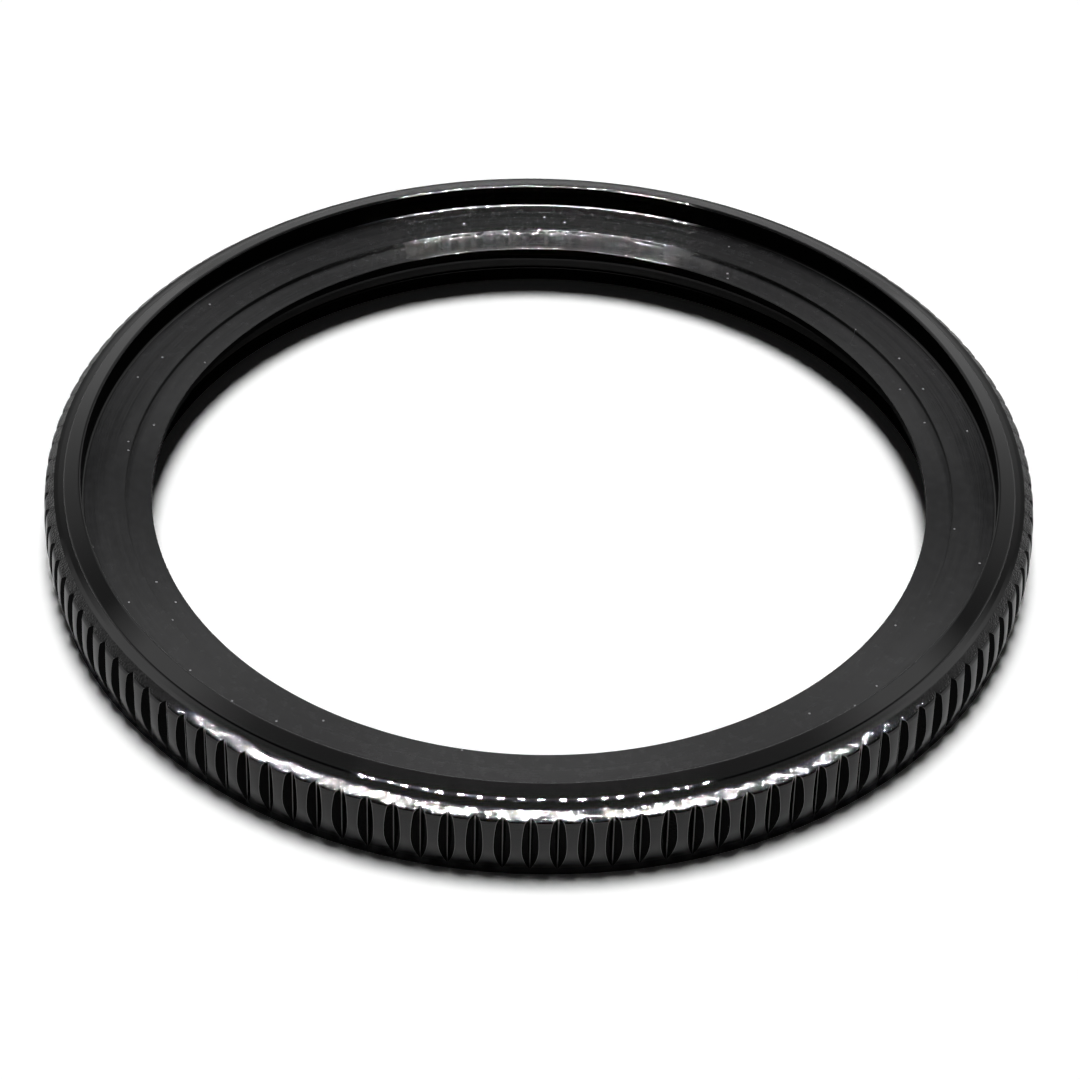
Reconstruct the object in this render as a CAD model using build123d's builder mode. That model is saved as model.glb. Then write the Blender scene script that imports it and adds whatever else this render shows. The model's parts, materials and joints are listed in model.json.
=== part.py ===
from build123d import *
from math import cos, pi, radians, sin, sqrt, tan
import os

os.makedirs("parts", exist_ok=True)

# Driving sizes of the bezel ring, in millimetres. The ring stands on z = 0, and every radius is
# worked outwards or inwards from the wall of the insert recess.
insert_radius = 19.05
total_height = 3.70

# Top face, outwards from the recess: a rounded lip, two bands that fall away, the narrow crest, a
# chamfer and a rounded shoulder.
lip_round = 0.10
lip_band_width = 0.60
lip_band_drop = 0.27
crest_band_width = 0.25
crest_band_drop = 0.13
crest_width = 0.175
crest_fall = 0.035
chamfer_width = 0.275
chamfer_drop = 0.23
shoulder_width = 0.13
shoulder_drop = 0.32

# Barrel wall below the shoulder: widest at half height, drawn in to a short upright foot.
wall_bulge = 0.06
widest_height = 1.70
foot_inset = 0.22
foot_land_height = 0.41
foot_draft = 0.035

# Grip: V flutes all round the wall.
flute_count = 120
flute_depth = 0.275
flute_flank_angle = 38.5
flute_root_radius = 0.03
cut_overrun = 0.3

# Insert recess, inwards from its wall: the seat, a step down and the thin flange round the opening.
insert_depth = 1.12
seat_corner = 0.06
seat_width = 1.80
step_depth = 0.21
step_width = 1.08
opening_edge_break = 0.05
flange_thickness = 0.34

# Underside: the bore that runs on the watch case, its gasket groove and the ratchet channel.
flange_overhang = 0.73
bore_edge_break = 0.12
gasket_groove_height = 0.60
gasket_groove_foot = 0.72
gasket_groove_depth = 0.45
collar_wall = 0.85
foot_wall = 0.885
channel_height = 0.90
tooth_count = flute_count
tooth_height = 0.25
tooth_land_width = 0.06
tooth_side_land = 0.12

# Bezel gasket, drawn as it sits squeezed on the case.
gasket_bore_clearance = 0.02
gasket_side_clearance = 0.03
gasket_corner_radius = 0.14

# Click spring: a stamped ring on the case, inside the channel.
spring_thickness = 0.20
spring_running_clearance = 0.05
spring_rim_clearance = 0.10
tongue_count = 3
first_tongue_angle = 90
tongue_length = 5.60
tongue_width = 0.55
tongue_rim_inset = 0.10
tongue_tooth_clearance = 0.06
tongue_cut_clearance = 0.10
tongue_root_gap = 0.04
pin_hole_radius = 0.30

lip_radius = insert_radius + lip_round
band_edge_radius = lip_radius + lip_band_width
crest_inner_radius = band_edge_radius + crest_band_width
crest_outer_radius = crest_inner_radius + crest_width
chamfer_foot_radius = crest_outer_radius + chamfer_width
shoulder_radius = chamfer_foot_radius + shoulder_width
tip_radius = shoulder_radius + wall_bulge
foot_edge_radius = tip_radius - foot_inset
foot_radius = foot_edge_radius - foot_draft

insert_wall_top = total_height - lip_round
band_edge_height = total_height - lip_band_drop
crest_inner_height = band_edge_height - crest_band_drop
crest_outer_height = crest_inner_height - crest_fall
chamfer_foot_height = crest_outer_height - chamfer_drop
shoulder_height = chamfer_foot_height - shoulder_drop

seat_height = total_height - insert_depth
shelf_height = seat_height - step_depth
flange_underside = shelf_height - flange_thickness
step_radius = insert_radius - seat_width
opening_radius = step_radius - step_width

case_bore_radius = opening_radius + flange_overhang
groove_outer_radius = case_bore_radius + gasket_groove_depth
groove_top = gasket_groove_foot + gasket_groove_height
collar_outer_radius = groove_outer_radius + collar_wall
channel_outer_radius = foot_radius - foot_wall
tooth_inner_radius = collar_outer_radius + tooth_side_land
tooth_outer_radius = channel_outer_radius - tooth_side_land
tooth_pocket_width = 2 * pi * tooth_inner_radius / tooth_count - tooth_land_width

# One V cut of the grip: it starts at the flute root and opens outwards past the tips.
flute_reach = flute_depth + cut_overrun
flute_half_width = flute_reach / tan(radians(flute_flank_angle))
flute_root = tip_radius - flute_depth

with BuildPart() as flute_cut:
    with BuildSketch():
        with BuildLine():
            Polyline(
                (flute_root, 0),
                (flute_root + flute_reach, flute_half_width),
                (flute_root + flute_reach, -flute_half_width),
                close=True,
            )
        make_face()
    extrude(amount=total_height)
    fillet(flute_cut.edges().filter_by(Axis.Z).sort_by(Axis.X)[0], radius=flute_root_radius)

# One pocket of the ratchet: a ramp that climbs anticlockwise to an upright face, so that the ring
# turns anticlockwise over the tongues and is stopped the other way.
with BuildPart() as tooth_cut:
    with BuildSketch(Plane.YZ.offset(tooth_inner_radius)):
        with BuildLine():
            Polyline(
                (-tooth_pocket_width / 2, channel_height),
                (tooth_pocket_width / 2, channel_height),
                (tooth_pocket_width / 2, channel_height + tooth_height),
                close=True,
            )
        make_face()
    extrude(amount=tooth_outer_radius - tooth_inner_radius)

with BuildPart() as bezel_ring:
    with BuildSketch(Plane.XZ):
        with BuildLine():
            Polyline(
                (foot_edge_radius, foot_land_height),
                (foot_radius, 0),
                (channel_outer_radius, 0),
                (channel_outer_radius, channel_height),
                (collar_outer_radius, channel_height),
                (collar_outer_radius, 0),
                (case_bore_radius + bore_edge_break, 0),
                (case_bore_radius, bore_edge_break),
                (case_bore_radius, gasket_groove_foot),
                (groove_outer_radius, gasket_groove_foot),
                (groove_outer_radius, groove_top),
                (case_bore_radius, groove_top),
                (case_bore_radius, flange_underside),
                (opening_radius, flange_underside),
                (opening_radius, shelf_height - opening_edge_break),
                (opening_radius + opening_edge_break, shelf_height),
                (step_radius, shelf_height),
                (step_radius, seat_height),
                (insert_radius - seat_corner, seat_height),
                (insert_radius, seat_height + seat_corner),
                (insert_radius, insert_wall_top),
            )
            TangentArc((insert_radius, insert_wall_top), (lip_radius, total_height), tangent=(0, 1))
            Polyline(
                (lip_radius, total_height),
                (band_edge_radius, band_edge_height),
                (crest_inner_radius, crest_inner_height),
                (crest_outer_radius, crest_outer_height),
                (chamfer_foot_radius, chamfer_foot_height),
            )
            upper_wall = TangentArc(
                (tip_radius, widest_height),
                (shoulder_radius, shoulder_height),
                tangent=(0, 1),
            )
            TangentArc(
                (shoulder_radius, shoulder_height),
                (chamfer_foot_radius, chamfer_foot_height),
                tangent=upper_wall % 1,
            )
            TangentArc(
                (tip_radius, widest_height),
                (foot_edge_radius, foot_land_height),
                tangent=(0, -1),
            )
        make_face()
    revolve(axis=Axis.Z)
    with PolarLocations(0, flute_count):
        add(flute_cut.part, mode=Mode.SUBTRACT)
    with PolarLocations(0, tooth_count):
        add(tooth_cut.part, mode=Mode.SUBTRACT)
bezel_ring.part.label = "bezel_ring"
export_step(bezel_ring.part, "parts/bezel_ring.step")

# The gasket lies on the floor of its groove and stands just back from the bore.
gasket_inner_radius = case_bore_radius + gasket_bore_clearance
gasket_radial_width = groove_outer_radius - gasket_inner_radius
gasket_height = gasket_groove_height - 2 * gasket_side_clearance
gasket_middle_radius = (gasket_inner_radius + groove_outer_radius) / 2
gasket_middle_height = (gasket_groove_foot + groove_top) / 2

with BuildPart() as bezel_gasket:
    with BuildSketch(Plane.XZ):
        with Locations((gasket_middle_radius, gasket_middle_height)):
            RectangleRounded(gasket_radial_width, gasket_height, gasket_corner_radius)
    revolve(axis=Axis.Z)
bezel_gasket.part.label = "bezel_gasket"
export_step(bezel_gasket.part, "parts/bezel_gasket.step")

# The tongue rises from the spring to a tip that lies along the ramp of one tooth. Distances along
# it are measured across the ring's radius at the tooth, from the middle of that tooth's pocket.
spring_inner_radius = collar_outer_radius + spring_running_clearance
spring_outer_radius = channel_outer_radius - spring_rim_clearance
tongue_outer_radius = spring_outer_radius - tongue_rim_inset
tongue_inner_radius = tongue_outer_radius - tongue_width
tongue_tip = tooth_pocket_width / 2 - tongue_tooth_clearance
tongue_knee = -tooth_pocket_width / 2
tongue_root = tongue_tip - tongue_length
ramp_slope = tooth_height / tooth_pocket_width
tip_top = channel_height + ramp_slope * (tongue_tip - tongue_knee) - tongue_tooth_clearance
knee_top = channel_height - tongue_tooth_clearance
notch_inner_radius = tongue_inner_radius - tongue_cut_clearance
notch_tip = tongue_tip + tongue_cut_clearance
notch_root = tongue_root - tongue_root_gap
notch_back = sqrt(notch_inner_radius ** 2 - notch_root ** 2)


def tooth_plane(angle):
    """Upright plane through the axis: its x runs anticlockwise, its y up, its normal outwards."""
    outwards = (cos(radians(angle)), sin(radians(angle)), 0)
    anticlockwise = (-sin(radians(angle)), cos(radians(angle)), 0)
    return Plane(origin=(0, 0, 0), x_dir=anticlockwise, z_dir=outwards)


tongue_angles = [first_tongue_angle + 360 / tongue_count * number for number in range(tongue_count)]
pin_angle_offset = 180 / tongue_count

with BuildPart() as notch_cut:
    with BuildSketch():
        Circle(spring_outer_radius + cut_overrun)
        Circle(notch_inner_radius, mode=Mode.SUBTRACT)
    extrude(amount=spring_thickness)
    with BuildSketch(tooth_plane(0)):
        with Locations(((notch_tip + notch_root) / 2, spring_thickness / 2)):
            Rectangle(notch_tip - notch_root, spring_thickness)
    extrude(amount=spring_outer_radius + cut_overrun, mode=Mode.INTERSECT)

with BuildPart() as click_spring:
    with BuildSketch():
        Circle(spring_outer_radius)
        Circle(spring_inner_radius, mode=Mode.SUBTRACT)
        with PolarLocations(
            (spring_inner_radius + spring_outer_radius) / 2,
            tongue_count,
            start_angle=first_tongue_angle + pin_angle_offset,
        ):
            Circle(pin_hole_radius, mode=Mode.SUBTRACT)
    extrude(amount=spring_thickness)
    with PolarLocations(0, tongue_count, start_angle=first_tongue_angle):
        add(notch_cut.part, mode=Mode.SUBTRACT)
click_spring.part.label = "click_spring"
export_step(click_spring.part, "parts/click_spring.step")

for number, angle in enumerate(tongue_angles, start=1):
    with BuildPart() as click_tongue:
        with BuildSketch(tooth_plane(angle)):
            with BuildLine():
                Polyline(
                    (tongue_tip, tip_top),
                    (tongue_knee, knee_top),
                    (tongue_root, spring_thickness),
                    (tongue_root, 0),
                    (tongue_knee, knee_top - spring_thickness),
                    (tongue_tip, tip_top - spring_thickness),
                    close=True,
                )
            make_face()
        extrude(amount=tongue_outer_radius)
        with BuildSketch():
            Circle(tongue_outer_radius)
            Circle(tongue_inner_radius, mode=Mode.SUBTRACT)
        extrude(amount=total_height, mode=Mode.INTERSECT)
    click_tongue.part.label = f"click_tongue_{number}"
    export_step(click_tongue.part, f"parts/click_tongue_{number}.step")
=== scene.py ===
import json
from math import atan2, cos, pi, radians, sin, tan

import bpy
import numpy as np
from mathutils import Matrix, Vector


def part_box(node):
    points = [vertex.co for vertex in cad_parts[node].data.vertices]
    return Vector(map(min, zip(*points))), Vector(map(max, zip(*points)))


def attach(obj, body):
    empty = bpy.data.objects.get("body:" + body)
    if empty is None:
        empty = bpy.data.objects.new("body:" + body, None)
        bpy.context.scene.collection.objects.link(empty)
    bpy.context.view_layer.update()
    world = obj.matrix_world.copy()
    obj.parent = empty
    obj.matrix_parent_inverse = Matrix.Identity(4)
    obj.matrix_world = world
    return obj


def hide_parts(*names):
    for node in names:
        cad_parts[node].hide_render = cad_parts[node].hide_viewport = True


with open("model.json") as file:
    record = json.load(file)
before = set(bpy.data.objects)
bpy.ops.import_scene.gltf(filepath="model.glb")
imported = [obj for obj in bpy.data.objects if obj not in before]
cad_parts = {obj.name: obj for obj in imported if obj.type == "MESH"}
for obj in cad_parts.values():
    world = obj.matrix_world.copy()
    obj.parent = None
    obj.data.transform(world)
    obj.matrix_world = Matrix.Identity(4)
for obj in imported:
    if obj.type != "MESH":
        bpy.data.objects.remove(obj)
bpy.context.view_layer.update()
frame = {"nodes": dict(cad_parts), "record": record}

# Camera: a long lens that looks down on the front of the ring. Its tilt, distance and small roll
# were measured on the ring's own circles, and its sight line is tied to the height of the thin
# inner land of the ring.
photo_pixels = 1080
focal_pixels = 4364
camera_distance = 0.1825
camera_tilt = radians(41.37)
camera_roll = radians(1.45)
sight_aside = -0.00008
sight_above = 0.00231
sight_height = 0.00237
clip_reach = 100

to_camera = Vector((0, -cos(camera_tilt), sin(camera_tilt)))
level_right = Vector((1, 0, 0))
level_up = Vector((0, sin(camera_tilt), cos(camera_tilt)))
camera_right = level_right * cos(camera_roll) + level_up * sin(camera_roll)
camera_up = level_up * cos(camera_roll) - level_right * sin(camera_roll)

camera = bpy.data.objects.new("camera", bpy.data.cameras.new("camera"))
bpy.context.scene.collection.objects.link(camera)
bpy.context.scene.camera = camera
camera.data.lens = focal_pixels / photo_pixels * camera.data.sensor_width
camera.data.clip_start = camera_distance / clip_reach
camera.data.clip_end = camera_distance * clip_reach
camera.location = (
    Vector((0, 0, sight_height))
    + camera_distance * to_camera
    - sight_aside * level_right
    - sight_above * level_up
)
camera.rotation_euler = Matrix((camera_right, camera_up, to_camera)).transposed().to_euler()
bpy.context.scene.view_settings.view_transform = "Standard"

# Bezel ring: turned from a steel bar, its grip milled as 120 V flutes and its ratchet as 120 ramps
# in a channel underneath, then polished and plated glossy black. Its case bore runs on the watch.
MM = 0.001
same = 1e-6
_, ring_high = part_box("bezel_ring")
mounts = {mount["name"]: mount for mount in frame["record"]["mounts"]}
insert_radius = mounts["insert_seat"]["dims"]["r_mm"]
bore_radius = mounts["case_bore"]["dims"]["r_mm"]
total_height = ring_high[2] / MM

# Sizes of its section in millimetres, from the recess outwards and down the grip.
lip_round = 0.08
band_slope = radians(24.5)
band_edge = insert_radius + 0.70
bead_width = 0.03
bead_drop = 0.055
crest_inner = band_edge + 0.25
crest_outer = crest_inner + 0.175
chamfer_foot = crest_outer + 0.275
chamfer_slope = radians(39.9)
shoulder_radius = chamfer_foot + 0.13
widest_radius = shoulder_radius + 0.06
widest_height = 1.70
foot_edge = widest_radius - 0.22
foot_land = 0.41
foot_radius = foot_edge - 0.035
crest_inner_height = total_height - 0.40
crest_outer_height = crest_inner_height - 0.035
chamfer_height = crest_outer_height - (chamfer_foot - crest_outer) * tan(chamfer_slope)
shoulder_height = chamfer_height - 0.32
seat_height = total_height - 1.12
land_height = seat_height - 0.21
flange_underside = land_height - 0.34
step_radius = insert_radius - 1.80
opening_radius = step_radius - 1.08
groove_radius = bore_radius + 0.45
groove_foot = 0.72
groove_top = 1.32
bore_edge_break = 0.12
collar_radius = groove_radius + 0.85
channel_radius = foot_radius - 0.885
channel_height = 0.90

# Roundings of its corners: the radius of the arc that takes each corner's place. The two bends of
# the barrel wall take a little less than their whole arc, so that they stay clear of their ends.
edge_round = 0.03
corner_round = 0.05
channel_round = 0.04
foot_bend = 0.3
lower_bend_share = 0.92
upper_bend_share = 0.98
shoulder_round = 0.38
crest_round = 0.06
bead_foot_round = 0.02
bead_round = 0.12
seat_round = 0.10
opening_round = 0.025

# Flutes and teeth. Half a flute's groove is at least groove_least wide, and at most groove_most of
# the pitch.
flute_count = 120
flute_pitch = 2 * pi / flute_count
flute_root = widest_radius - 0.27
flute_flank = radians(38.5)
flute_root_round = 0.02
ridge_round = 0.012
groove_least = 0.012
groove_most = 0.46
tooth_height = 0.25
tooth_land = 0.06
tooth_side_land = 0.12


def rounded(corners):
    """Points and outward normals of a section: each corner (radius, height, rounding, steps) is
    replaced by an arc tangent to both of its sides, with points at equal turns along the arc."""
    spots = np.array([corner[:2] for corner in corners], float)
    sides = np.diff(spots, axis=0)
    sides /= np.linalg.norm(sides, axis=1)[:, None]
    outward = np.stack([sides[:, 1], -sides[:, 0]], 1)
    points, normals = [spots[:1]], [outward[:1]]
    for (_, _, rounding, steps), spot, before, after in zip(
        corners[1:-1], spots[1:-1], outward[:-1], outward[1:]
    ):
        turn = atan2(before[0] * after[1] - before[1] * after[0], before @ after)
        side = 1 if turn > 0 else -1
        middle = (before + after) / np.linalg.norm(before + after)
        centre = spot - side * middle * rounding / cos(turn / 2)
        angle = np.linspace(0, turn, steps + 1)[:, None]
        across = np.array([-before[1], before[0]])
        normal = before * np.cos(angle) + across * np.sin(angle)
        points.append(centre + side * rounding * normal)
        normals.append(normal)
    points.append(spots[-1:])
    normals.append(outward[-1:])
    return np.concatenate(points), np.concatenate(normals)


def arc_corner(start, finish, radius):
    """Where the upright tangent at the widest point meets the tangent at an arc's other end."""
    turn = 2 * atan2(abs(finish[0] - start[0]), abs(finish[1] - start[1]))
    rise = radius * tan(turn / 2)
    return start[1] + (rise if finish[1] > start[1] else -rise)


def arc_radius(start, finish):
    """Radius of the arc that leaves start upright and passes through finish."""
    aside, along = finish[0] - start[0], finish[1] - start[1]
    return (aside**2 + along**2) / (2 * abs(aside))


def on_chamfer(radius):
    """Height of the chamfer at a radius."""
    return crest_outer_height - (radius - crest_outer) * tan(chamfer_slope)


widest = (widest_radius, widest_height)
wall_foot = (foot_edge, foot_land)
wall_top = (shoulder_radius, shoulder_height)
lower_bend = arc_radius(widest, wall_foot)
upper_bend = arc_radius(widest, wall_top)
upper_lean = 2 * atan2(widest_radius - shoulder_radius, shoulder_height - widest_height)
shoulder_rise = (
    chamfer_height - shoulder_height - (shoulder_radius - chamfer_foot) * tan(chamfer_slope)
) / (1 - tan(upper_lean) * tan(chamfer_slope))

# The wall, the face and the underside meet on the crest, in the opening and under the foot. One row
# of the wall follows the line where the flutes fade out in the chamfer.
join_share = 0.4
join_radius = crest_inner + join_share * (crest_outer - crest_inner)
join_height = crest_inner_height + join_share * (crest_outer_height - crest_inner_height)
foot_join = foot_radius - 0.12
opening_middle = (land_height + flange_underside) / 2
fade_radius = flute_root + 0.035

wall_points, wall_normals = rounded([
    (foot_join, 0, 0, 0),
    (foot_radius, 0, edge_round, 3),
    (foot_edge, foot_land, foot_bend, 2),
    (widest_radius, arc_corner(widest, wall_foot, lower_bend), lower_bend * lower_bend_share, 5),
    (widest_radius, arc_corner(widest, wall_top, upper_bend), upper_bend * upper_bend_share, 3),
    (shoulder_radius - shoulder_rise * tan(upper_lean), shoulder_height + shoulder_rise, shoulder_round, 6),
    (fade_radius, on_chamfer(fade_radius), 0, 0),
    (flute_root, on_chamfer(flute_root), 0, 0),
    (crest_outer, crest_outer_height, edge_round, 3),
    (join_radius, join_height, 0, 0),
])

band_top = total_height + lip_round * (tan(band_slope) + 1 / cos(band_slope) - 1)
band_edge_height = band_top - (band_edge - insert_radius) * tan(band_slope)
face_points, face_normals = rounded([
    (join_radius, join_height, 0, 0),
    (crest_inner, crest_inner_height, crest_round, 3),
    (band_edge + bead_width, band_edge_height - bead_drop, bead_foot_round, 2),
    (band_edge, band_edge_height, bead_round, 6),
    (insert_radius, band_top, lip_round, 7),
    (insert_radius, seat_height, seat_round, 6),
    (step_radius, seat_height, edge_round, 5),
    (step_radius, land_height, edge_round, 4),
    (opening_radius, land_height, opening_round, 5),
    (opening_radius, opening_middle, 0, 0),
])

under_points, under_normals = rounded([
    (opening_radius, opening_middle, 0, 0),
    (opening_radius, flange_underside, edge_round, 3),
    (bore_radius, flange_underside, corner_round, 2),
    (bore_radius, groove_top, edge_round, 2),
    (groove_radius, groove_top, corner_round, 2),
    (groove_radius, groove_foot, corner_round, 2),
    (bore_radius, groove_foot, edge_round, 2),
    (bore_radius, bore_edge_break, edge_round, 2),
    (bore_radius + bore_edge_break, 0, edge_round, 2),
    (collar_radius, 0, edge_round, 3),
    (collar_radius, channel_height, channel_round, 3),
    (channel_radius, channel_height, channel_round, 3),
    (channel_radius, 0, edge_round, 3),
    (foot_join, 0, 0, 0),
])


def around(points, normals, angles):
    """Carries a section round the axis: a point (radius, height) at angle a goes to
    (radius cos a, radius sin a, height), and its normal turns with it."""
    turn = np.stack([np.cos(angles), np.sin(angles)], -1)
    heights = (len(points), len(angles), 1)
    return [
        np.concatenate([part[:, None, :1] * turn, np.broadcast_to(part[:, None, 1:], heights)], 2)
        for part in (points, normals)
    ]


def fluted(points, normals):
    """The grip. At each height the section's radius and the radius of a V groove,
    root / (cos a - tan(flank) sin a) at angle a from the groove's middle, are joined by a smooth
    minimum (p + g) / 2 - sqrt((p - g)^2 / 4 + round^2). The columns follow the groove's edges."""
    radius = points[:, :1]
    half_groove = (radius - flute_root) / tan(flute_flank) / radius
    edge = np.clip(half_groove, groove_least / radius, groove_most * flute_pitch)

    # Columns of half a flute: two at the groove's middle, four round its edge and one on the ridge.
    # Each stands a gap in millimetres from its line, but not more than a share of the groove.
    column_gap = np.array([0, 0.03, -0.035, -0.010, 0.010, 0.035, 0])
    at_edge = np.array([0, 0, 1, 1, 1, 1, 0])
    on_ridge = np.array([0, 0, 0, 0, 0, 0, 1])
    most_gap = 0.3 * edge
    half = np.clip(column_gap / radius, -most_gap, most_gap) + at_edge * edge + on_ridge * flute_pitch / 2
    local = np.concatenate([half, (flute_pitch - half[:, 1:-1])[:, ::-1]], 1)

    from_middle = np.where(local > flute_pitch / 2, local - flute_pitch, local)
    sine, cosine = np.sin(from_middle), np.cos(from_middle)
    soft = np.sqrt(sine**2 + (flute_root_round / flute_root) ** 2)
    below = cosine - tan(flute_flank) * soft
    groove = flute_root / below
    groove_slope = groove / below * (sine + tan(flute_flank) * sine * cosine / soft)
    spread = np.sqrt((radius - groove) ** 2 / 4 + ridge_round**2)
    share = 0.5 + (radius - groove) / (4 * spread)
    reach = (radius + groove) / 2 - spread
    reach = np.where(points[:, 1:] < same, radius, reach)
    lean = normals[:, :1]
    tangential = -lean * share * groove_slope / reach
    upward = np.broadcast_to(normals[:, 1:], share.shape) * (1 - share * lean**2)

    starts = flute_pitch * np.arange(flute_count)
    angle = (local[:, None, :] + starts[None, :, None]).reshape(len(points), -1)
    reach, tangential, upward = (np.tile(part, (1, flute_count)) for part in (reach, tangential, upward))
    height = np.broadcast_to(points[:, 1:], reach.shape)
    place = np.stack([reach * np.cos(angle), reach * np.sin(angle), height], -1)
    facing = np.stack([
        lean * np.cos(angle) - tangential * np.sin(angle),
        lean * np.sin(angle) + tangential * np.cos(angle),
        upward,
    ], -1)
    return place, facing / np.linalg.norm(facing, axis=-1, keepdims=True)


def toothed(points, normals):
    """The underside. In the channel's roof each tooth is a pocket whose height climbs in step with
    the angle, tooth_height * (a - start) / width, and ends at an upright face."""
    inner, outer = collar_radius + tooth_side_land, channel_radius - tooth_side_land
    half_width = (flute_pitch - tooth_land / inner) / 2
    before_face, face_turn, after_face = 0.0006, 0.0003, 0.0009
    steps = np.array([
        -half_width, 0, half_width - before_face, half_width, half_width + face_turn, half_width + after_face
    ])
    climb = np.array([0, 0.5, 1, 1, 0, 0]) * tooth_height
    roof = np.flatnonzero(
        (abs(points[:, 1] - channel_height) < same) & (abs(normals[:, 1] + 1) < same)
    )
    first, last = roof[0], roof[-1]

    # Rows at the two ends of the pockets: radius, share of the climb, and normal.
    row_gap, end_width = 0.01, 1e-4
    rows = np.array([
        (inner - row_gap, 0, 0, -1),
        (inner, 0, 1, 0),
        (inner + end_width, 1, 1, 0),
        (inner + row_gap, 1, 0, -1),
        (outer - row_gap, 1, 0, -1),
        (outer - end_width, 1, -1, 0),
        (outer, 0, -1, 0),
        (outer + row_gap, 0, 0, -1),
    ])
    extra = np.stack([rows[:, 0], np.full(len(rows), channel_height)], 1)
    points = np.concatenate([points[:first + 1], extra, points[last:]])
    normals = np.concatenate([normals[:first + 1], rows[:, 2:], normals[last:]])
    lifted = np.zeros(len(points))
    lifted[first + 1:first + 1 + len(rows)] = rows[:, 1]

    angles = (steps[None, :] + flute_pitch * np.arange(flute_count)[:, None]).ravel()
    place, facing = around(points, normals, angles)
    place[:, :, 2] += lifted[:, None] * np.tile(climb, flute_count)[None, :]
    return place, facing, angles


face_column_count = 4 * flute_count
face_angles = 2 * pi / face_column_count * np.arange(face_column_count)
wall_place, wall_facing = fluted(wall_points, wall_normals)
face_place, face_facing = around(face_points, face_normals, face_angles)
under_place, under_facing, under_angles = toothed(under_points, under_normals)


def quads(rows, columns, first):
    """Faces of a grid of rows whose columns close round the axis."""
    row, column = np.meshgrid(np.arange(rows - 1), np.arange(columns), indexing="ij")
    here = first + row * columns + column
    beside = first + row * columns + (column + 1) % columns
    return np.stack([here, beside, beside + columns, here + columns], -1).reshape(-1, 4)


def side_middles(angles):
    """Middle of each side of a ring of points, from the points' angles."""
    return angles + np.diff(angles, append=angles[0] + 2 * pi) / 2


def seam(lower, upper, lower_first, upper_first):
    """Triangles between two rings of points that lie on one circle at other angles: each side of
    one ring is joined to the point of the other that it passes at its middle."""
    low_side, up_side = side_middles(lower), side_middles(upper)
    up_of_low = np.searchsorted(up_side, low_side)
    low_of_up = np.searchsorted(low_side, up_side, side="right")
    low, up = np.arange(len(lower)), np.arange(len(upper))
    first = np.stack([
        lower_first + low,
        lower_first + (low + 1) % len(lower),
        upper_first + up_of_low % len(upper),
    ], 1)
    second = np.stack([
        lower_first + low_of_up % len(lower),
        upper_first + (up + 1) % len(upper),
        upper_first + up,
    ], 1)
    return np.concatenate([first, second])


def make_piece(name, place, facing, faces):
    """A mesh object in metres from points in millimetres, with one smooth normal at each point."""
    mesh = bpy.data.meshes.new(name)
    mesh.from_pydata((place * MM).tolist(), [], faces)
    mesh.shade_smooth()
    if facing is not None:
        mesh.normals_split_custom_set_from_vertices(facing.tolist())
    piece = bpy.data.objects.new(name, mesh)
    bpy.context.scene.collection.objects.link(piece)
    return piece


grids = [wall_place, face_place, under_place]
firsts = np.cumsum([0] + [grid.shape[0] * grid.shape[1] for grid in grids])
ring_faces = [quads(*grid.shape[:2], first) for grid, first in zip(grids, firsts)]
(wall_rows, wall_columns), (face_rows, face_columns), (under_rows, under_columns) = (
    grid.shape[:2] for grid in grids
)
wall_top_angles, wall_foot_angles = (
    np.unwrap(np.arctan2(wall_place[row, :, 1], wall_place[row, :, 0])) for row in (-1, 0)
)
ring_seams = [
    seam(wall_top_angles, face_angles, firsts[0] + (wall_rows - 1) * wall_columns, firsts[1]),
    seam(face_angles, under_angles, firsts[1] + (face_rows - 1) * face_columns, firsts[2]),
    seam(under_angles, wall_foot_angles, firsts[2] + (under_rows - 1) * under_columns, firsts[0]),
]
bezel = make_piece(
    "bezel",
    np.concatenate([grid.reshape(-1, 3) for grid in grids]),
    np.concatenate([grid.reshape(-1, 3) for grid in (wall_facing, face_facing, under_facing)]),
    [face.tolist() for group in ring_faces + ring_seams for face in group],
)


class Wire:
    """A number or colour that changes over a surface. Arithmetic on it adds Math nodes."""

    def __init__(self, finish, socket):
        self.finish = finish
        self.socket = socket

    def math(self, operation, *values):
        return self.finish.wire("ShaderNodeMath", {"operation": operation}, dict(enumerate(values)))

    def __add__(self, other):
        return self.math("ADD", self, other)

    __radd__ = __add__

    def __sub__(self, other):
        return self.math("SUBTRACT", self, other)

    def __rsub__(self, other):
        return self.math("SUBTRACT", other, self)

    def __mul__(self, other):
        return self.math("MULTIPLY", self, other)

    def __pow__(self, power):
        return self.math("POWER", self, power)

    def __lt__(self, other):
        return self.math("LESS_THAN", self, other)

    def __gt__(self, other):
        return self.math("GREATER_THAN", self, other)


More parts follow.
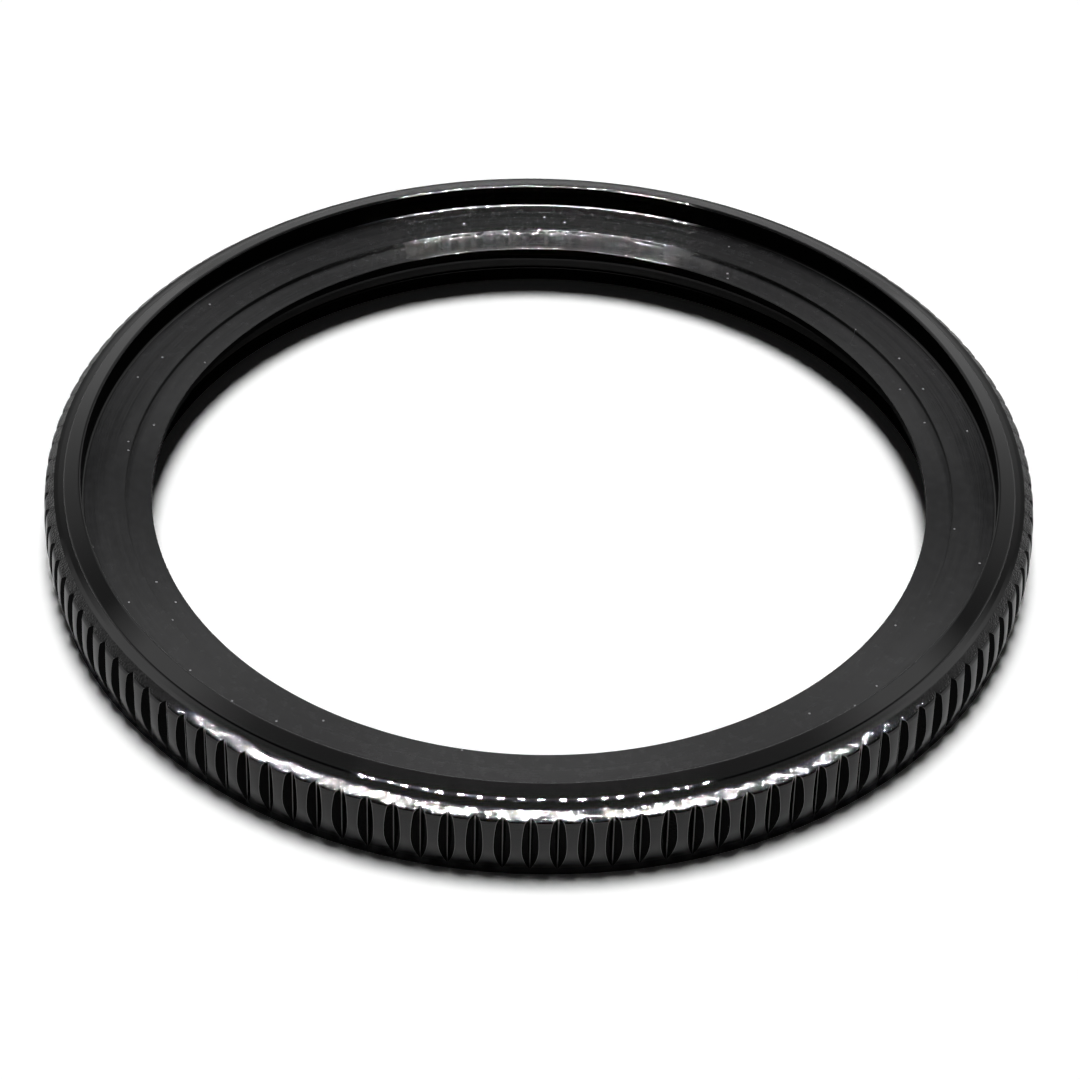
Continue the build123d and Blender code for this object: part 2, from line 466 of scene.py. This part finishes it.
class Finish:
    """The nodes of one material, light or world: node() adds any node, with its settings set
    before its sockets, and wire() gives one of its outputs as a Wire."""

    relief = 0.00001

    def __init__(self, owner):
        owner.use_nodes = True
        self.tree = owner.node_tree
        self.tree.nodes.clear()

    def node(self, kind, settings, inputs):
        made = self.tree.nodes.new(kind)
        for name, value in settings.items():
            if name == "stops":
                ramp = made.color_ramp.elements
                while len(ramp) < len(value):
                    ramp.new(1)
                for element, (position, level) in zip(ramp, value):
                    element.position = position
                    element.color = (level, level, level, 1)
            else:
                setattr(made, name, value)
        for name, value in inputs.items():
            if isinstance(value, Wire):
                self.tree.links.new(value.socket, made.inputs[name])
            else:
                made.inputs[name].default_value = value
        return made

    def wire(self, kind, settings, inputs, output=0):
        return Wire(self, self.node(kind, settings, inputs).outputs[output])

    def wires(self, node, outputs):
        return [Wire(self, node.outputs[output]) for output in outputs]

    def spot(self):
        """Coordinates on the piece, in metres."""
        return self.wire("ShaderNodeTexCoord", {}, {}, "Object")

    def place(self):
        """Millimetre coordinates x, y, z on the piece, and the distance from the ring's axis."""
        split = self.node("ShaderNodeSeparateXYZ", {}, {0: self.spot()})
        x, y, z = (part * (1 / MM) for part in self.wires(split, "XYZ"))
        return x, y, z, (x * x + y * y) ** 0.5

    def noise(self, spot, scale, detail=2):
        """A soft random pattern with about scale grains in a metre."""
        return self.wire("ShaderNodeTexNoise", {"noise_dimensions": "3D"},
                         {"Vector": spot, "Scale": scale, "Detail": detail})

    def lines(self, across, scale, detail):
        """A random pattern that changes with one coordinate only, with about scale lines in each
        millimetre of it."""
        return self.wire("ShaderNodeTexNoise", {"noise_dimensions": "1D"},
                         {"W": across, "Scale": scale, "Detail": detail})

    def bump(self, height, strength):
        """The normal of a surface with a fine relief, where a height of 1 is a hundredth of a
        millimetre."""
        return self.wire("ShaderNodeBump", {},
                         {"Strength": strength, "Distance": self.relief, "Height": height}, "Normal")

    def grey(self, shade, blue=1.0):
        """A grey whose blue is that many times as strong as the rest."""
        return self.wire("ShaderNodeCombineColor", {},
                         {"Red": shade, "Green": shade, "Blue": shade * blue})

    def rise(self, value, start, end):
        """0 up to start, 1 from end on, and a smooth rise between them."""
        return self.wire("ShaderNodeMapRange", {"interpolation_type": "SMOOTHSTEP"},
                         {0: value, 1: start, 2: end, 3: 0.0, 4: 1.0})

    def rays(self, *kinds):
        """What the Light Path node says about the ray that is being shaded."""
        return self.wires(self.node("ShaderNodeLightPath", {}, {}), kinds)

    def close(self, shader, kind="ShaderNodeOutputMaterial"):
        self.node(kind, {}, {"Surface": shader})


# Dust on the plating: its cells in a metre, the reach of a speck from the middle of its cell, the
# share of the cells that stay clean, and the shade of a speck.
dust_scale = 1100.0
dust_reach = 0.05
dust_clean = 0.9
dust_shade = 0.25


def black_plating(name, ior, roughness, turned, mark_depth, grain_depth, haze):
    """Glossy black plating over turned steel. The turned marks run round the axis and stretch each
    highlight along the radius, a fine grain breaks it up, and a hazed face is cloudy and dusty."""
    material = bpy.data.materials.new(name)
    finish = Finish(material)
    _, _, z, radial = finish.place()
    spot = finish.spot()
    marks = finish.lines(radial + z, 40.0, 1.0)
    grain = finish.noise(spot, 11000.0)
    cloud = finish.noise(spot, 2500.0, 4)
    shade = 0.001 + (0.15 + cloud * cloud * 0.4) * haze
    if haze:
        cell = finish.node("ShaderNodeTexVoronoi", {"voronoi_dimensions": "2D"},
                           {"Vector": spot, "Scale": dust_scale})
        to_middle, chance = finish.wires(cell, ("Distance", "Color"))
        draw = finish.wire("ShaderNodeSeparateColor", {}, {0: chance})
        shade = shade + (to_middle < dust_reach) * (draw > dust_clean) * dust_shade
    shader = finish.wire("ShaderNodeBsdfPrincipled", {}, {
        "Base Color": finish.grey(shade, 1.04),
        "Roughness": roughness + cloud * 0.02,
        "IOR": ior,
        "Anisotropic": turned,
        "Anisotropic Rotation": 0.25,
        "Normal": finish.bump(marks * mark_depth + grain * grain_depth, 0.25),
    })
    finish.close(shader)
    return material


# Finishes of the ring: name, IOR, roughness, turned share, depth of marks and of grain, and haze. An IOR
# near 1 hardly mirrors anything, as on the recess wall and the flanks of the flutes: these are copies of the
# plating that paint shade there, on the recess wall, under the flange and inside the bore, and on the flanks
# of the flutes. An IOR of 2 mirrors more: that copy paints a highlight along the grooves' edges.
polished, turned_seat, dark_wall, grained_chamfer, dark_groove, bright_edge = range(6)
for finish_values in (
    ("polished", 1.5, 0.045, 1.0, 0.1, 0.1, 0.0),
    ("turned_seat", 1.5, 0.10, 1.0, 14.0, 0.3, 0.05),
    ("dark_wall", 1.03, 0.3, 0.0, 0.0, 0.0, 0.0),
    ("grained_chamfer", 1.5, 0.045, 0.0, 0.1, 70.0, 0.0),
    ("dark_groove", 1.08, 0.12, 0.0, 0.1, 0.5, 0.0),
    ("bright_edge", 2.0, 0.12, 0.0, 0.1, 0.1, 0.0),
):
    bezel.data.materials.append(black_plating(*finish_values))

# Limits between the finishes, a little past the roundings. Tilt is 0 on a level face and 1 on an
# upright one.
wall_margin = 0.002
seat_corner_top = seat_height + 0.105
lip_reach = insert_radius + 0.02
opening_edge_foot = land_height - 0.03
chamfer_start = crest_outer + 0.005
chamfer_end_height = chamfer_height - 0.03
cut_start = flute_root + 0.03
bore_end = groove_radius + 0.01
level_tilt = 0.1
upright_tilt = 0.99


def finish_of_rows(points, column_count):
    """Finish of each face of a grid, row by row, from the middle and tilt of each side of the
    section."""
    middle = (points[1:] + points[:-1]) / 2
    side = points[1:] - points[:-1]
    radius, height = middle[:, 0], middle[:, 1]
    tilt = abs(side[:, 1]) / np.linalg.norm(side, axis=1)
    kind = np.full(len(middle), polished)
    in_recess = radius < insert_radius - wall_margin
    kind[in_recess & (height < seat_corner_top)] = turned_seat
    kind[in_recess & (tilt > level_tilt) & (tilt < upright_tilt)] = polished
    # Painted shade: the recess wall above the seat's corner takes the copy of the plating that mirrors
    # almost nothing.
    kind[(radius < insert_radius + wall_margin) & (height > seat_corner_top)] = dark_wall
    kind[(radius < lip_reach) & (height > total_height - lip_round)] = polished
    # Painted shade: so does the wall of the opening below its edge.
    kind[(radius < opening_radius + wall_margin) & (height < opening_edge_foot)] = dark_wall
    kind[(radius > chamfer_start) & (height > chamfer_end_height)] = grained_chamfer
    return np.repeat(kind[:, None], column_count, axis=1)


# A flute has 12 columns of faces. Columns 1, 2, 9 and 10 are the flanks of its groove; they take a copy of
# the plating that mirrors little, a painted shade. Columns 3 and 8 are the groove's two edges; they take a
# copy that mirrors more, a painted highlight. Underneath, all that lies inside the gasket's groove takes the
# copy that mirrors almost nothing, a painted shade.
wall_kinds = finish_of_rows(wall_points, wall_columns)
face_kinds = finish_of_rows(face_points, face_columns)
column_of_flute = np.arange(wall_columns) % (wall_columns // flute_count)
cut_rows = np.minimum(wall_points[1:, 0], wall_points[:-1, 0]) > cut_start
for columns, kind in (((1, 2, 9, 10), dark_groove), ((3, 8), bright_edge)):
    wall_kinds[cut_rows[:, None] & np.isin(column_of_flute, columns)[None, :]] = kind
under_radius = np.linalg.norm(under_place[:, 0, :2], axis=1)
outside_bore = (under_radius[1:] + under_radius[:-1]) / 2 > bore_end
under_kinds = np.repeat(np.where(outside_bore, polished, dark_wall), under_columns)
# The seams in the opening's wall and under the foot take that same painted shade.
seam_kinds = [
    np.full(len(group), kind) for group, kind in zip(ring_seams, (polished, dark_wall, dark_wall))
]
bezel.data.polygons.foreach_set("material_index", np.concatenate(
    [wall_kinds.ravel(), face_kinds.ravel(), under_kinds, *seam_kinds]
).astype(np.int32))
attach(bezel, "ring")
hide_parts("bezel_ring")

# Bezel gasket: a moulded ring of black rubber pressed into the groove of the case bore, where it
# holds the ring on the collar of the case and gives its turning some drag.


def gasket_rubber():
    """Matt black rubber with a fine moulded grain and a little dust in it."""
    material = bpy.data.materials.new("gasket_rubber")
    finish = Finish(material)
    spot = finish.spot()
    grain = finish.noise(spot, 12000.0, 4)
    cloud = finish.noise(spot, 900.0, 3)
    shader = finish.wire("ShaderNodeBsdfPrincipled", {}, {
        "Base Color": finish.grey(0.002 + cloud * 0.003),
        "Roughness": 0.55 + cloud * 0.2,
        "Specular IOR Level": 0.02,
        "Normal": finish.bump(grain, 0.4),
    })
    finish.close(shader)
    return material


def refinish(node, material):
    """Gives a piece carried over from the frame its finish, in every slot of its mesh."""
    for slot in frame["nodes"][node].material_slots:
        slot.material = material


refinish("bezel_gasket", gasket_rubber())

# Click spring: stamped from thin rolled spring steel with three tongues bent up into the ratchet,
# and pinned to the watch case. Its faces keep the rolled grain.


def spring_steel():
    """Bright rolled steel: long fine lines along the rolling direction and a soft cloudy tarnish."""
    material = bpy.data.materials.new("spring_steel")
    finish = Finish(material)
    _, y, _, _ = finish.place()
    lines = finish.lines(y, 22.0, 4.0)
    cloud = finish.noise(finish.spot(), 500.0, 3)
    shader = finish.wire("ShaderNodeBsdfPrincipled", {}, {
        "Base Color": finish.grey(0.50 + cloud * 0.14 + lines * 0.06, 0.99),
        "Metallic": 1.0,
        "Roughness": 0.22 + cloud * 0.16,
        "Normal": finish.bump(lines, 0.25),
    })
    finish.close(shader)
    return material


spring_finish = spring_steel()
for node in ("click_spring", "click_tongue_1", "click_tongue_2", "click_tongue_3"):
    refinish(node, spring_finish)

# Table: a plain white sheet that the ring stands on. It shows white to the camera and a little darker in
# what the ring reflects of it. Towards the far side it is darker still there, a painted shade for the ring's
# shadow behind it. It keeps the ring's soft contact shadow. Sizes in millimetres.
table_half = 1500.0
table_near = -20.0
table_far = 30.0
table_level = 0.8
camera_lift = 0.32
mirror_drop = 0.08
# Painted shade: how much darker the far side of the table is in what the ring reflects, for the ring's
# shadow behind it.
painted_far_shade = 0.3
table_corners = np.array([(-1, -1, 0), (1, -1, 0), (1, 1, 0), (-1, 1, 0)]) * table_half
table = make_piece("table", table_corners, None, [(0, 1, 2, 3)])


def white_table():
    """Matt white, raised to a full white for the camera alone, and darker in what the ring reflects of it.
    It is darkest towards the far side, where the darkening is a painted shade for the ring's shadow behind
    it."""
    material = bpy.data.materials.new("white_table")
    finish = Finish(material)
    _, y, _, _ = finish.place()
    seen, glossy = finish.rays("Is Camera Ray", "Is Glossy Ray")
    far = finish.rise(y, table_near, table_far)
    level = table_level + seen * camera_lift - glossy * (mirror_drop + far * painted_far_shade)
    finish.close(finish.wire("ShaderNodeBsdfDiffuse", {}, {"Color": finish.grey(level)}))
    return material


table.data.materials.append(white_table())

# Light: a room that the ring reflects, with one brightness over the height of the near side and one
# for the far side, from 0 at the horizon to 1 straight up. The far side is brightest half-way up.
world = bpy.data.worlds.new("studio")
bpy.context.scene.world = world
near_levels = [(0.0, 0.9), (0.06, 0.03), (0.74, 0.03), (0.9, 0.15), (1.0, 0.24)]
far_levels = [
    (0.0, 0.35), (0.2, 0.35), (0.3, 0.28), (0.48, 0.2), (0.58, 0.12), (0.64, 0.10),
    (0.70, 0.38), (0.73, 0.55), (0.80, 0.55), (0.88, 0.2), (1.0, 0.12),
]
far_strength = 2
near_end = -0.3
far_start = 0.25
soft_light = 0.012


def studio():
    """White to the camera, very dim for soft light, and for reflections a level that depends on the
    direction: a ramp over its height for the near side and one for the far side."""
    finish = Finish(world)
    direction = finish.wire("ShaderNodeTexCoord", {}, {}, "Generated")
    depth, height = finish.wires(finish.node("ShaderNodeSeparateXYZ", {}, {0: direction}), "YZ")
    near, far = (
        finish.wire("ShaderNodeValToRGB", {"stops": levels}, {0: height})
        for levels in (near_levels, far_levels)
    )
    side = finish.rise(depth, near_end, far_start)
    mirrored = near * (1 - side) + far * side * far_strength
    seen, diffuse, glossy = finish.rays("Is Camera Ray", "Is Diffuse Ray", "Is Glossy Ray")
    strength = seen + diffuse * soft_light + glossy * mirrored
    glow = finish.wire("ShaderNodeBackground", {}, {"Color": (1, 1, 1, 1), "Strength": strength})
    finish.close(glow, "ShaderNodeOutputWorld")


studio()


def lamp(name, spot, target, size, power):
    """A round area lamp at a spot, turned to face its target. It makes highlights only: it lights
    nothing matt, neither straight nor by way of the gloss."""
    light = bpy.data.lights.new(name, "AREA")
    light.shape = "DISK"
    light.size = size
    light.energy = power
    finish = Finish(light)
    (matt_bounces,) = finish.rays("Diffuse Depth")
    glow = finish.wire("ShaderNodeEmission", {}, {"Strength": matt_bounces < 0.5})
    finish.close(glow, "ShaderNodeOutputLight")
    fixture = bpy.data.objects.new(name, light)
    fixture.location = spot
    fixture.rotation_euler = (Vector(spot) - Vector(target)).to_track_quat("Z", "Y").to_euler()
    fixture.visible_diffuse = False
    bpy.context.scene.collection.objects.link(fixture)


# Lamps: two strips of ten small lamps stand in one row above the near edge, one strip between the
# lamps of the other and stretched a little more. They give the ring its rows of highlights.
strip_lamps = 10
strip_step = 0.0156
row_depth = -0.087
row_height = 0.115
lamp_size = 0.0024
lamp_power = 0.3
for strip, stretch in ((-1, 0.985), (1, 1.015)):
    for number in range(strip_lamps):
        along = strip * strip_step / 4 + (number - (strip_lamps - 1) / 2) * strip_step * stretch
        spot = (along, row_depth, row_height)
        lamp(f"lamp_{strip + 1}_{number + 1}", spot, (0, 0, 0), lamp_size, lamp_power)

# Overhead light: one broad soft sun for the matt faces and the contact shadow, without highlights.
overhead = bpy.data.objects.new("overhead", bpy.data.lights.new("overhead", "SUN"))
overhead.data.energy = 2.9
overhead.data.angle = radians(20)
overhead.rotation_euler = (radians(-10), 0, 0)
overhead.visible_glossy = False
bpy.context.scene.collection.objects.link(overhead)
